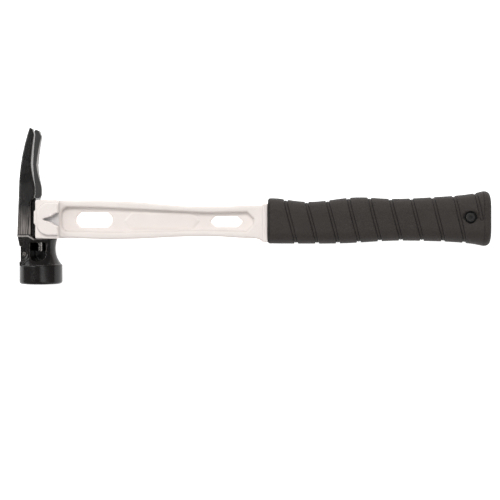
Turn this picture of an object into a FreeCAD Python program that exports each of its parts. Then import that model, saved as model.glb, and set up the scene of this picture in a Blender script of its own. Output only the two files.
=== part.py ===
"""Modular framing hammer, lying on its side, in millimetres.

While it is modelled, X runs from the head's top along the handle to the butt cap, Y runs from the
striking face (minus) to the claws (plus), and Z is the thickness, with the middle plane at Z = 0.
Every sub-part then gets the same Placement, which puts the origin at the bottom centre of the
whole tool's box.
"""
import FreeCAD, Part
import math
import os
import Sketcher
from FreeCAD import Placement, Rotation, Vector

DIMENSIONS = {
    "overall_length": 406.4,  # head top to butt cap: the 16 inch size
    "half_width": 18.6,  # the widest piece, the poll, sets how high the middle plane lies
    "overshoot": 1.0,  # how far a cutting outline reaches past the solid that it cuts
    # striking poll and neck
    "poll_radius": 18.6,
    "face_y": -56.2,
    "poll_top_y": -39.2,
    "poll_chamfer": 1.4,
    "poll_rim": 0.8,
    "neck_waist_radius": 12.7,
    "neck_waist_y": -25.0,
    "neck_flare_radius": 20.0,
    "neck_top_flare_radius": 28.0,
    "neck_top_radius": 14.1,
    "neck_half_z": 12.6,
    "neck_blend": 3.0,
    "neck_low_x": 2.6,
    "neck_curve_x": 2.3,
    "neck_curve_y": -21.1,
    "neck_notch_x": 2.6,
    "neck_notch_y": -23.3,
    # spine and claws
    "spine_bottom_y": -14.6,
    "spine_bottom_x": 0.8,
    "spine_top_x": 2.2,
    "spine_right": 12.8,
    "spine_half_z": 13.0,
    "claw_start_y": 22.0,
    "claw_outer_radius": 170.0,
    "claw_tip_x": 12.3,
    "claw_tip_y": 79.0,
    "claw_tip_inner_x": 14.6,
    "claw_tip_inner_y": 78.0,
    "claw_bevel_x": 16.2,
    "claw_bevel_y": 73.0,
    "claw_upper_curve": 232.0,
    "claw_lower_curve": 97.0,
    "claw_waist_x": 13.1,
    "claw_waist_y": 48.0,
    "claw_root_x": 15.8,
    "claw_root_y": 31.0,
    "claw_lip_x": 16.4,
    "claw_lip_high": 27.5,
    "claw_lip_low": 21.5,
    "claw_tip_half_z": 15.4,
    "slot_tip_half": 4.3,
    "slot_root_half": 1.2,
    "slot_root_y": 40.0,
    "slot_end_y": 34.0,
    "slot_end_half": 0.3,
    "trough_apex_x": 9.6,
    "trough_half": 10.5,
    "trough_wide_x": 16.0,
    "trough_start_y": 19.0,
    # seat of the head on the handle
    "rib_half_z": 8.8,
    "rib_top_y": 18.0,
    "rib_foot_y": 15.0,
    "seat_y": -17.0,
    "hook_half_z": 5.5,
    "hook_low_y": 1.0,
    "hook_throat_y": 7.0,
    "hook_high_y": 11.0,
    "hook_lip_x": 19.5,
    "hook_tip_x": 23.0,
    "hook_room": 4.0,
    "fit_gap": 0.1,
    # handle block, with a nail puller on each side
    "block_left": 16.2,
    "block_right": 36.6,
    "block_half_y": 16.8,
    "block_half_z": 12.0,
    "block_corner": 1.5,
    "block_edge": 0.8,
    "flank_left": 14.9,
    "flank_right": 22.6,
    "flank_corner": 1.2,
    "flank_low": -4.9,
    "flank_high": 7.9,
    "flank_inner_z": 9.2,
    "pad_left": 18.6,
    "pad_right": 36.5,
    "pad_low": -13.65,
    "pad_high": 14.0,
    "pad_corner": 9.5,
    "pad_half_z": 15.0,
    "pad_edge": 0.7,
    "notch_tip_x": 23.4,
    "notch_tip_half": 0.5,
    "notch_half": 5.9,
    "notch_neck_x": 31.0,
    "notch_neck_half": 2.6,
    "notch_floor_z": 9.0,
    "notch_curve": 9.0,
    # shank
    "shank_half_z": 7.5,
    "shank_edge": 2.0,
    "web_half_z": 2.5,
    "shank_start": 30.0,
    "shank_top": 16.1,
    "shank_top_end": 72.8,
    "waist_top_x": 166.4,
    "waist_top": 11.1,
    "shank_end_top": 12.3,
    "shank_low": -16.2,
    "belly_x": 80.9,
    "belly_low": -17.3,
    "waist_low_x": 164.4,
    "waist_low": -14.7,
    "flare_x": 204.4,
    "flare_low": -16.4,
    "collar_flare": 11.9,
    "collar_left": 212.9,
    "collar_top": 13.4,
    "collar_low": -19.8,
    "collar_half_z": 11.0,
    "grip_start": 217.0,
    # recesses and windows of the shank
    "recess_left": 37.6,
    "recess_right": 204.9,
    "recess_end_left": 43.7,
    "recess_end_right": 199.3,
    "recess_corner": 6.4,
    "recess_left_bend_top": 4.6,
    "recess_left_bend_low": -4.4,
    "recess_right_bend_top": 0.4,
    "recess_right_bend_low": -4.1,
    "recess_belly_low": -11.4,
    "recess_shoulder_top": 10.0,
    "recess_left_top": 10.7,
    "recess_left_low": -10.5,
    "recess_mid_top": 5.4,
    "recess_mid_low": -9.4,
    "recess_right_top": 6.2,
    "recess_right_low": -10.5,
    "recess_bevel": 1.2,
    "window_one_left": 49.9,
    "window_one_right": 81.6,
    "window_one_high": 6.1,
    "window_one_low": -7.1,
    "window_two_left": 167.4,
    "window_two_right": 194.7,
    "window_two_high": 2.6,
    "window_two_low": -6.5,
    "window_corner": 4.0,
    "plate_left": 93.0,
    "plate_right": 157.2,
    "plate_high": 5.8,
    "plate_high_right": 5.0,
    "plate_low": -8.0,
    "plate_point": 6.0,
    "plate_rise": 0.6,
    # tang, inside the grip
    "tang_end": 394.0,
    "tang_y": -2.2,
    "tang_half_y": 10.0,
    "tang_half_z": 3.5,
    "tang_window_left": 225.3,
    "tang_window_length": 38.0,
    "tang_window_pitch": 50.0,
    "tang_window_half": 7.0,
    "tang_window_corner": 3.0,
    # head bolt, its pocket and its hole
    "bolt_x": 18.6,
    "bolt_radius": 3.1,
    "bolt_hole_radius": 3.2,
    "bolt_channel_low_y": -21.0,
    "bolt_top_y": -9.5,
    "bolt_hole_top_y": -8.5,
    "bolt_head_radius": 4.75,
    "bolt_head_height": 6.35,
    "bolt_key_radius": 2.75,
    "bolt_key_depth": 3.2,
    "pocket_roof_y": -20.0,
    "pocket_floor_y": -36.0,
    "pocket_half": 6.6,
    "pocket_roof_corner": 1.0,
    "pocket_floor_corner": 5.0,
    "pocket_depth_z": -6.2,
    "washer_thick": 1.2,
    "washer_radius": 5.2,
    # nail starter in the neck's side
    "starter_high_y": -23.3,
    "starter_low_y": -36.5,
    "starter_right": 9.4,
    "starter_bend_x": 4.4,
    "starter_curve": 8.0,
    "starter_floor_z": 8.6,
    "magnet_x": 6.2,
    "magnet_y": -30.0,
    "magnet_radius": 1.9,
    "magnet_thick": 2.4,
    "magnet_proud": 0.3,
    "magnet_gap": 0.02,
    # grip
    "core_start": 217.1,
    "core_end": 400.2,
    "core_half_y": 14.4,
    "core_half_z": 10.6,
    "core_corner": 8.0,
    "overlay_end": 400.5,
    "overlay_gap": 0.05,
    "cap_edge": 4.4,
    "cap_spigot": 4.0,
    "cap_root": 0.5,
    "cap_gap": 0.1,
    "cap_spigot_half_y": 8.5,
    "cap_spigot_half_z": 4.5,
    # grip screw, washer and sleeve nut
    "screw_x": 389.0,
    "screw_y": 1.6,
    "recess_radius": 5.3,
    "cross_hole_radius": 3.6,
    "nut_radius": 3.4,
    "nut_flange_radius": 4.75,
    "nut_flange_thick": 2.2,
    "nut_top_z": 6.4,
    "screw_radius": 2.0,
    "screw_bore_radius": 2.1,
    "screw_tip_z": -4.6,
    "screw_head_radius": 4.4,
    "screw_head_height": 2.8,
    "screw_head_edge": 1.2,
    "screw_key_radius": 1.7,
    "screw_key_depth": 1.8,
    "screw_washer_thick": 0.8,
    "screw_washer_radius": 4.9,
}

TANG_WINDOWS = 3

# Outside of the rubber grip: place along X, top, bottom, half thickness and corner radius.
GRIP_STATIONS = [
    (217.0, 18.0, -20.9, 14.2, 11.0),
    (229.0, 17.6, -21.0, 14.0, 11.0),
    (248.1, 15.2, -21.0, 13.8, 11.0),
    (279.0, 17.7, -20.8, 14.0, 11.5),
    (313.3, 18.0, -18.9, 14.0, 11.5),
    (347.4, 18.3, -18.5, 14.2, 11.5),
    (373.0, 19.9, -19.4, 15.2, 12.0),
    (388.0, 21.4, -20.6, 16.3, 13.0),
    (400.5, 24.0, -22.8, 18.2, 15.0),
]

doc = FreeCAD.newDocument("framing_hammer")
sheet = doc.addObject("Spreadsheet::Sheet", "dims")
for row, (alias, number) in enumerate(DIMENSIONS.items(), start=1):
    sheet.set(f"A{row}", alias)
    sheet.set(f"B{row}", str(number))
    sheet.setAlias(f"B{row}", alias)
doc.recompute()


class Size:
    """A length with its number and the spreadsheet expression that gives it."""

    def __init__(self, number, text):
        self.number = number
        self.text = text

    def __add__(self, other):
        other = as_size(other)
        return Size(self.number + other.number, f"({self.text} + {other.text})")

    def __sub__(self, other):
        other = as_size(other)
        return Size(self.number - other.number, f"({self.text} - {other.text})")

    def __mul__(self, other):
        other = as_size(other)
        return Size(self.number * other.number, f"({self.text} * {other.text})")

    def __truediv__(self, other):
        other = as_size(other)
        return Size(self.number / other.number, f"({self.text} / {other.text})")

    def __neg__(self):
        return Size(-self.number, f"(-1 * {self.text})")


def as_size(value):
    return value if isinstance(value, Size) else Size(float(value), f"{float(value):.6f}")


def dim(alias):
    return Size(DIMENSIONS[alias], f"dims.{alias}")


def body(label):
    made = doc.addObject("PartDesign::Body", label)
    made.Label = label
    return made


def sketch_on(owner, name, role="XY_Plane", lift=0.0, along=0.0):
    """An empty sketch on one of the body's own planes, lifted along that plane's normal and
    moved along the sketch's own first direction."""
    made = owner.newObject("Sketcher::SketchObject", name)
    support = next(o for o in owner.Origin.OriginFeatures if o.Role == role)
    made.AttachmentSupport = [(support, "")]
    made.MapMode = "FlatFace"
    lift = as_size(lift)
    along = as_size(along)
    made.AttachmentOffset = Placement(Vector(along.number, 0, lift.number), Rotation())
    made.setExpression("AttachmentOffset.Base.z", lift.text)
    made.setExpression("AttachmentOffset.Base.x", along.text)
    return made


def constrain(made, kind, *where_and_size):
    """A sketch size that follows the spreadsheet."""
    *where, size = where_and_size
    size = as_size(size)
    index = made.addConstraint(Sketcher.Constraint(kind, *where, size.number))
    made.setExpression(f"Constraints[{index}]", size.text)


def outline(made, corners):
    """A closed outline. A corner is (x, y) for a straight run that ends there, or
    (x, y, radius) for an arc that ends there, turning left for a positive radius."""
    places = [Vector(as_size(c[0]).number, as_size(c[1]).number, 0) for c in corners]
    items = []
    for i, corner in enumerate(corners):
        start, end = places[i - 1], places[i]
        if len(corner) == 2:
            items.append((made.addGeometry(Part.LineSegment(start, end)), 1, 2))
            continue
        radius = as_size(corner[2]).number
        first, last = (start, end) if radius > 0 else (end, start)
        chord = last - first
        left = Vector(-chord.y, chord.x, 0).normalize()
        centre = (first + last) / 2 + left * math.sqrt(radius ** 2 - chord.Length ** 2 / 4)
        a = math.atan2(first.y - centre.y, first.x - centre.x)
        b = math.atan2(last.y - centre.y, last.x - centre.x)
        circle = Part.Circle(centre, Vector(0, 0, 1), abs(radius))
        arc = Part.ArcOfCircle(circle, a, b if b > a else b + 2 * math.pi)
        items.append((made.addGeometry(arc), 1, 2) if radius > 0 else (made.addGeometry(arc), 2, 1))
    for i, (item, _, last) in enumerate(items):
        following, first, _ = items[(i + 1) % len(items)]
        made.addConstraint(Sketcher.Constraint("Coincident", item, last, following, first))
        constrain(made, "DistanceX", -1, 1, item, last, corners[i][0])
        constrain(made, "DistanceY", -1, 1, item, last, corners[i][1])
        if len(corners[i]) == 3:
            radius = as_size(corners[i][2])
            constrain(made, "Radius", item, radius if radius.number > 0 else -radius)
    return made


def ring(made, x, y, *radii):
    """Circles about one centre."""
    for radius in radii:
        centre = Vector(as_size(x).number, as_size(y).number, 0)
        item = made.addGeometry(Part.Circle(centre, Vector(0, 0, 1), as_size(radius).number))
        constrain(made, "DistanceX", -1, 1, item, 3, x)
        constrain(made, "DistanceY", -1, 1, item, 3, y)
        constrain(made, "Radius", item, radius)
    return made


def hexagon(made, x, y, radius):
    """A hexagon socket, with its corners at the radius."""
    places = []
    for i in range(6):
        places.append((as_size(x) + as_size(radius) * math.cos(math.pi / 3 * i),
                       as_size(y) + as_size(radius) * math.sin(math.pi / 3 * i)))
    return outline(made, places)


def s_bend(start, end):
    """Two equal arcs from start to end, level with X at both."""
    dx, dy = as_size(end[0]) - start[0], as_size(end[1]) - start[1]
    radius = (dx * dx + dy * dy) / (dy * 4) * math.copysign(1, dx.number)
    middle = ((as_size(start[0]) + end[0]) / 2, (as_size(start[1]) + end[1]) / 2, radius)
    return [middle, (end[0], end[1], -radius)]


def box_corners(left, low, right, high):
    return [(left, low), (right, low), (right, high), (left, high)]


def round_box(left, low, right, high, radius):
    """A rectangle with quarter-round corners."""
    left, low, right, high, radius = map(as_size, (left, low, right, high, radius))
    return [(left + radius, low, radius), (right - radius, low), (right, low + radius, radius),
            (right, high - radius), (right - radius, high, radius), (left + radius, high),
            (left, high - radius, radius), (left, low + radius)]


def cut_box(left, low, right, high, corner):
    """A rectangle with its corners cut off at 45 degrees."""
    left, low, right, high, corner = map(as_size, (left, low, right, high, corner))
    return [(left + corner, low), (right - corner, low), (right, low + corner),
            (right, high - corner), (right - corner, high), (left + corner, high),
            (left, high - corner), (left, low + corner)]


def volume_of(owner):
    doc.recompute()
    return owner.Shape.Volume if owner.Tip and not owner.Shape.isNull() else 0.0


def pad(owner, made, thickness, middle=True, down=False):
    """Adds a sketch's outline as a solid of the given thickness."""
    before = volume_of(owner)
    thickness = as_size(thickness)
    feature = owner.newObject("PartDesign::Pad", f"{made.Name}_pad")
    feature.Profile = made
    feature.Length = thickness.number
    feature.setExpression("Length", thickness.text)
    feature.Midplane = middle
    feature.Reversed = down
    if volume_of(owner) <= before:
        raise RuntimeError(f"{made.Name} added nothing")
    return feature


def pocket(owner, made, depth, middle=False, up=False):
    """Cuts a sketch's outline out, down from the sketch or up from it."""
    before = volume_of(owner)
    depth = as_size(depth)
    feature = owner.newObject("PartDesign::Pocket", f"{made.Name}_cut")
    feature.Profile = made
    feature.Length = depth.number
    feature.setExpression("Length", depth.text)
    feature.Midplane = middle
    feature.Reversed = up
    if volume_of(owner) >= before:
        raise RuntimeError(f"{made.Name} cut nothing")
    return feature


def dress(owner, kind, name, size, chosen):
    """A fillet or a chamfer on the edges that the test picks from the body so far."""
    size = as_size(size)
    base = owner.Tip
    names = [f"Edge{i + 1}" for i, edge in enumerate(base.Shape.Edges) if chosen(edge)]
    feature = owner.newObject(f"PartDesign::{kind}", name)
    feature.Base = (base, names)
    sizing = "Radius" if kind == "Fillet" else "Size"
    setattr(feature, sizing, size.number)
    feature.setExpression(sizing, size.text)
    doc.recompute()
    return feature


def flat_at(edge, level):
    """True for an edge that lies wholly at that height above or below the middle plane."""
    box = edge.BoundBox
    return abs(abs(box.ZMin) - level) < 1e-4 and box.ZLength < 1e-4


def make_handle():
    """One metal forging: seat block, shank with recesses and windows, collar and tang."""
    handle = body("handle")
    start = (dim("shank_start"), dim("shank_low"))
    waist = (dim("waist_low_x"), dim("waist_low"))
    flare = (dim("flare_x"), dim("flare_low"))
    top_waist = (dim("waist_top_x"), dim("waist_top"))
    shank = sketch_on(handle, "shank")
    outline(shank, [
        start, (dim("block_right"), dim("shank_low")),
        *s_bend((dim("block_right"), dim("shank_low")), (dim("belly_x"), dim("belly_low"))),
        *s_bend((dim("belly_x"), dim("belly_low")), waist),
        *s_bend(waist, flare),
        (dim("collar_left"), dim("collar_low"), -dim("collar_flare")),
        (dim("grip_start"), dim("collar_low")), (dim("grip_start"), dim("shank_end_top")),
        (dim("collar_left"), dim("shank_end_top")),
        *s_bend((dim("collar_left"), dim("shank_end_top")), top_waist),
        *s_bend(top_waist, (dim("shank_top_end"), dim("shank_top"))),
        (dim("shank_start"), dim("shank_top")),
    ])
    pad(handle, shank, dim("shank_half_z") * 2)
    hidden = (DIMENSIONS["shank_start"], DIMENSIONS["grip_start"])
    dress(handle, "Fillet", "shank_edges", dim("shank_edge"), lambda edge: (
        flat_at(edge, DIMENSIONS["shank_half_z"])
        and not any(abs(edge.CenterOfMass.x - x) < 0.01 for x in hidden)))
    for side, up in (("near", True), ("far", False)):
        sign = 1 if up else -1
        recess = sketch_on(handle, f"recess_{side}", lift=dim("web_half_z") * sign)
        outline(recess, [
            (dim("recess_end_left"), dim("recess_left_low"), dim("recess_corner")),
            (dim("belly_x"), dim("recess_belly_low")),
            (dim("waist_low_x"), dim("recess_mid_low")),
            (dim("recess_end_right"), dim("recess_right_low")),
            (dim("recess_right"), dim("recess_right_bend_low")),
            (dim("recess_right"), dim("recess_right_bend_top")),
            (dim("recess_end_right"), dim("recess_right_top")),
            (dim("waist_top_x"), dim("recess_mid_top")),
            (dim("shank_top_end"), dim("recess_shoulder_top")),
            (dim("recess_end_left"), dim("recess_left_top")),
            (dim("recess_left"), dim("recess_left_bend_top"), dim("recess_corner")),
            (dim("recess_left"), dim("recess_left_bend_low")),
        ])
        pocket(handle, recess, dim("shank_half_z"), up=up)
    dress(handle, "Chamfer", "recess_bevels", dim("recess_bevel"), lambda edge: (
        flat_at(edge, DIMENSIONS["shank_half_z"])
        and edge.BoundBox.XMin > DIMENSIONS["recess_left"] - 0.1
        and edge.BoundBox.XMax < DIMENSIONS["recess_right"] + 0.1
        and edge.BoundBox.YMax < DIMENSIONS["recess_left_top"] + 0.1
        and edge.BoundBox.YMin > DIMENSIONS["recess_belly_low"] - 0.2))
    for name in ("one", "two"):
        window = sketch_on(handle, f"window_{name}")
        outline(window, cut_box(dim(f"window_{name}_left"), dim(f"window_{name}_low"),
                                dim(f"window_{name}_right"), dim(f"window_{name}_high"),
                                dim("window_corner")))
        pocket(handle, window, dim("shank_half_z") * 2, middle=True)
    plate = sketch_on(handle, "plate")
    middle = (dim("plate_high") + dim("plate_low")) / 2
    outline(plate, [
        (dim("plate_left"), middle), (dim("plate_left") + dim("plate_point"), dim("plate_low")),
        (dim("plate_right") - dim("plate_point"), dim("plate_low")), (dim("plate_right"), middle),
        (dim("plate_right") - dim("plate_point"), dim("plate_high_right")),
        (dim("plate_left") + dim("plate_point"), dim("plate_high")),
    ])
    pad(handle, plate, (dim("web_half_z") + dim("plate_rise")) * 2)
    block = sketch_on(handle, "block")
    outline(block, round_box(dim("block_left"), -dim("block_half_y"), dim("block_right"),
                             dim("block_half_y"), dim("block_corner")))
    pad(handle, block, dim("block_half_z") * 2)
    for side, down in (("near", False), ("far", True)):
        sign = -1 if down else 1
        flank = sketch_on(handle, f"flank_{side}", lift=dim("flank_inner_z") * sign)
        outline(flank, cut_box(dim("flank_left"), dim("flank_low"), dim("flank_right"),
                               dim("flank_high"), dim("flank_corner")))
        pad(handle, flank, dim("block_half_z") - dim("flank_inner_z"), middle=False, down=down)
    dress(handle, "Fillet", "block_edges", dim("block_edge"), lambda edge: (
        flat_at(edge, DIMENSIONS["block_half_z"])))
    puller = sketch_on(handle, "puller")
    corner = dim("pad_corner")
    outline(puller, [
        (dim("pad_left") + corner, dim("pad_low"), corner), (dim("pad_right"), dim("pad_low")),
        (dim("pad_right"), dim("pad_high")), (dim("pad_left") + corner, dim("pad_high")),
        (dim("pad_left"), dim("pad_high") - corner, corner), (dim("pad_left"), dim("pad_low") + corner),
    ])
    pad(handle, puller, dim("pad_half_z") * 2)
    dress(handle, "Fillet", "puller_edges", dim("pad_edge"), lambda edge: (
        flat_at(edge, DIMENSIONS["pad_half_z"])))
    for side, up in (("near", True), ("far", False)):
        sign = 1 if up else -1
        notch = sketch_on(handle, f"notch_{side}", lift=dim("notch_floor_z") * sign)
        outline(notch, [
            (dim("notch_tip_x"), -dim("notch_tip_half")),
            (dim("notch_neck_x"), -dim("notch_neck_half")),
            (dim("block_right") + dim("overshoot"), -dim("notch_half"), dim("notch_curve")),
            (dim("block_right") + dim("overshoot"), dim("notch_half")),
            (dim("notch_neck_x"), dim("notch_neck_half"), dim("notch_curve")),
            (dim("notch_tip_x"), dim("notch_tip_half")),
        ])
        pocket(handle, notch, dim("pad_half_z"), up=up)
    collar = sketch_on(handle, "collar")
    outline(collar, box_corners(dim("collar_left"), dim("collar_low"), dim("grip_start"),
                                dim("collar_top")))
    pad(handle, collar, dim("collar_half_z") * 2)
    tang = sketch_on(handle, "tang")
    outline(tang, box_corners(dim("grip_start") - dim("overshoot"), dim("tang_y") - dim("tang_half_y"),
                              dim("tang_end"), dim("tang_y") + dim("tang_half_y")))
    pad(handle, tang, dim("tang_half_z") * 2)
    for i in range(TANG_WINDOWS):
        left = dim("tang_window_left") + dim("tang_window_pitch") * i
        window = sketch_on(handle, f"tang_window_{i + 1}")
        outline(window, round_box(left, dim("tang_y") - dim("tang_window_half"),
                                  left + dim("tang_window_length"),
                                  dim("tang_y") + dim("tang_window_half"),
                                  dim("tang_window_corner")))
        pocket(handle, window, dim("tang_half_z") * 2, middle=True)
    cross = ring(sketch_on(handle, "cross_hole"), dim("screw_x"), dim("screw_y"),
                 dim("cross_hole_radius"))
    pocket(handle, cross, dim("tang_half_z") * 2, middle=True)
    gap = dim("fit_gap")
    hook_slot = sketch_on(handle, "hook_slot")
    outline(hook_slot, [
        (dim("flank_left") - dim("overshoot"), dim("hook_low_y") - dim("hook_room") - gap),
        (dim("hook_tip_x") + gap, dim("hook_low_y") - dim("hook_room") - gap),
        (dim("hook_tip_x") + gap, dim("hook_high_y") + gap),
        (dim("hook_lip_x") - gap, dim("hook_high_y") + gap),
        (dim("hook_lip_x") - gap, dim("hook_throat_y") + gap),
        (dim("flank_left") - dim("overshoot"), dim("hook_throat_y") + gap),
    ])
    pocket(handle, hook_slot, (dim("hook_half_z") + gap) * 2, middle=True)
    bolt_hole = sketch_on(handle, "bolt_hole", "XZ_Plane", lift=-dim("bolt_hole_top_y"))
    ring(bolt_hole, dim("bolt_x"), 0, dim("bolt_hole_radius"))
    pocket(handle, bolt_hole, dim("block_half_y"), up=True)
    return handle


def make_head():
    """Striking poll, neck, spine and claws in one steel forging."""
    head = body("head")
    spine = sketch_on(head, "spine")
    outline(spine, [
        (dim("spine_bottom_x"), dim("spine_bottom_y")), (dim("spine_right"), dim("spine_bottom_y")),
        (dim("spine_right"), dim("rib_foot_y")), (dim("block_left") - dim("overshoot"), dim("rib_top_y")),
        (dim("claw_lip_x"), dim("claw_lip_low")), (dim("claw_lip_x"), dim("claw_lip_high")),
        (dim("claw_root_x"), dim("claw_root_y")),
        (dim("claw_waist_x"), dim("claw_waist_y"), -dim("claw_lower_curve")),
        (dim("claw_bevel_x"), dim("claw_bevel_y"), -dim("claw_upper_curve")),
        (dim("claw_tip_inner_x"), dim("claw_tip_inner_y")),
        (dim("claw_tip_x"), dim("claw_tip_y")),
        (dim("spine_top_x"), dim("claw_start_y"), dim("claw_outer_radius")),
    ])
    pad(head, spine, dim("claw_tip_half_z") * 2)
    for name, sign in (("near", 1), ("far", -1)):
        flank = sketch_on(head, f"claw_flank_{name}", "YZ_Plane", lift=-dim("overshoot"))
        outline(flank, [
            (dim("spine_bottom_y") - dim("overshoot"), dim("spine_half_z") * sign),
            (dim("claw_root_y"), dim("spine_half_z") * sign),
            (dim("claw_tip_y") + dim("overshoot"), dim("claw_tip_half_z") * sign),
            (dim("claw_tip_y") + dim("overshoot"), (dim("claw_tip_half_z") + dim("overshoot")) * sign),
            (dim("spine_bottom_y") - dim("overshoot"), (dim("claw_tip_half_z") + dim("overshoot")) * sign),
        ])
        pocket(head, flank, dim("block_right"), up=True)
    slot = sketch_on(head, "claw_slot", "YZ_Plane", lift=-dim("overshoot"))
    outline(slot, [
        (dim("claw_tip_y") + dim("overshoot"), -dim("slot_tip_half")),
        (dim("claw_tip_y") + dim("overshoot"), dim("slot_tip_half")),
        (dim("slot_root_y"), dim("slot_root_half")), (dim("slot_end_y"), dim("slot_end_half")),
        (dim("slot_end_y"), -dim("slot_end_half")), (dim("slot_root_y"), -dim("slot_root_half")),
    ])
    pocket(head, slot, dim("block_right"), up=True)
    trough = sketch_on(head, "claw_trough", "XZ_Plane", lift=-dim("trough_start_y"))
    wide = dim("trough_half") * 2
    reach = (dim("trough_wide_x") - dim("trough_apex_x")) * 2
    outline(trough, [(dim("trough_apex_x"), 0), (dim("trough_apex_x") + reach, -wide),
                     (dim("trough_apex_x") + reach, wide)])
    pocket(head, trough, dim("claw_tip_y"))
    rib = sketch_on(head, "rib")
    outline(rib, box_corners(dim("spine_right") - dim("overshoot"), dim("spine_bottom_y"),
                             dim("block_left"), dim("rib_top_y")))
    pad(head, rib, dim("rib_half_z") * 2)
    hook = sketch_on(head, "hook")
    outline(hook, [
        (dim("block_left") - dim("overshoot"), dim("hook_low_y")), (dim("hook_tip_x"), dim("hook_low_y")),
        (dim("hook_tip_x"), dim("hook_high_y")), (dim("hook_lip_x"), dim("hook_high_y")),
        (dim("hook_lip_x"), dim("hook_throat_y")),
        (dim("block_left") - dim("overshoot"), dim("hook_throat_y")),
    ])
    pad(head, hook, dim("hook_half_z") * 2)
    neck = sketch_on(head, "neck")
    outline(neck, [
        (dim("neck_low_x"), dim("poll_top_y") - dim("overshoot")),
        (dim("bolt_x"), dim("poll_top_y") - dim("overshoot")),
        (dim("bolt_x"), dim("seat_y")), (dim("block_left"), dim("seat_y")),
        (dim("spine_right"), dim("seat_y") + dim("neck_blend")),
        (dim("spine_bottom_x"), dim("seat_y") + dim("neck_blend")),
        (dim("neck_curve_x"), dim("neck_curve_y")), (dim("neck_notch_x"), dim("neck_notch_y")),
    ])
    pad(head, neck, dim("neck_half_z") * 2)
    poll = sketch_on(head, "poll", along=dim("bolt_x"))
    rim = dim("poll_rim")
    outline(poll, [
        (0, dim("face_y")), (dim("poll_radius") - dim("poll_chamfer"), dim("face_y")),
        (dim("poll_radius"), dim("face_y") + dim("poll_chamfer")),
        (dim("poll_radius"), dim("poll_top_y") - rim),
        (dim("poll_radius") - rim, dim("poll_top_y"), rim),
        (dim("neck_waist_radius"), dim("neck_waist_y"), -dim("neck_flare_radius")),
        (dim("neck_top_radius"), dim("seat_y"), -dim("neck_top_flare_radius")),
        (0, dim("seat_y")),
    ])
    before = volume_of(head)
    turned = head.newObject("PartDesign::Revolution", "poll_turned")
    turned.Profile = poll
    turned.ReferenceAxis = (poll, ["V_Axis"])
    turned.Angle = 360
    if volume_of(head) <= before:
        raise RuntimeError("the poll added nothing")
    key_pocket = sketch_on(head, "key_pocket", lift=dim("pocket_depth_z"))
    left, right = dim("bolt_x") - dim("pocket_half"), dim("bolt_x") + dim("pocket_half")
    low, roof = dim("pocket_floor_y"), dim("pocket_roof_y")
    round_low, round_roof = dim("pocket_floor_corner"), dim("pocket_roof_corner")
    outline(key_pocket, [
        (left + round_low, low, round_low), (right - round_low, low),
        (right, low + round_low, round_low), (right, roof - round_roof),
        (right - round_roof, roof, round_roof), (left + round_roof, roof),
        (left, roof - round_roof, round_roof), (left, low + round_low),
    ])
    pocket(head, key_pocket, dim("half_width") * 2, up=True)
    channel = sketch_on(head, "bolt_channel", "XZ_Plane", lift=-dim("bolt_hole_top_y"))
    ring(channel, dim("bolt_x"), 0, dim("bolt_hole_radius") + dim("fit_gap"))
    pocket(head, channel, dim("bolt_hole_top_y") - dim("bolt_channel_low_y"), up=True)
    starter = sketch_on(head, "nail_starter", lift=dim("starter_floor_z"))
    outline(starter, [
        (-dim("overshoot"), dim("starter_low_y")), (dim("starter_bend_x"), dim("starter_low_y")),
        (dim("starter_right"), (dim("starter_low_y") + dim("starter_high_y")) / 2,
         dim("starter_curve")),
        (dim("starter_bend_x"), dim("starter_high_y"), dim("starter_curve")),
        (-dim("overshoot"), dim("starter_high_y")),
    ])
    pocket(head, starter, dim("half_width"), up=True)
    seat = sketch_on(head, "magnet_seat", lift=dim("starter_floor_z"))
    ring(seat, dim("magnet_x"), dim("magnet_y"), dim("magnet_radius") + dim("magnet_gap"))
    pocket(head, seat, dim("magnet_thick") - dim("magnet_proud"))
    return head


def make_magnet():
    """The disc magnet that holds a nail in the starter."""
    magnet = body("nail_magnet")
    top = dim("starter_floor_z") + dim("magnet_proud")
    disc = ring(sketch_on(magnet, "disc", lift=top), dim("magnet_x"), dim("magnet_y"),
                dim("magnet_radius"))
    pad(magnet, disc, dim("magnet_thick"), middle=False, down=True)
    return magnet


def make_bolt():
    """Socket cap screw that draws the head up onto the handle."""
    bolt = body("head_bolt")
    under_head = -dim("pocket_roof_y") + dim("washer_thick")
    shank = sketch_on(bolt, "shank", "XZ_Plane", lift=-dim("bolt_top_y"))
    ring(shank, dim("bolt_x"), 0, dim("bolt_radius"))
    pad(bolt, shank, under_head + dim("bolt_top_y"), middle=False)
    cap = sketch_on(bolt, "cap", "XZ_Plane", lift=under_head)
    ring(cap, dim("bolt_x"), 0, dim("bolt_head_radius"))
    pad(bolt, cap, dim("bolt_head_height"), middle=False)
    key = sketch_on(bolt, "key", "XZ_Plane", lift=under_head + dim("bolt_head_height"))
    hexagon(key, dim("bolt_x"), 0, dim("bolt_key_radius"))
    pocket(bolt, key, dim("bolt_key_depth"))
    return bolt


def make_bolt_washer():
    washer = body("head_bolt_washer")
    flat = sketch_on(washer, "flat", "XZ_Plane", lift=-dim("pocket_roof_y"))
    ring(flat, dim("bolt_x"), 0, dim("washer_radius"), dim("bolt_hole_radius") + dim("fit_gap"))
    pad(washer, flat, dim("washer_thick"), middle=False)
    return washer


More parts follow.
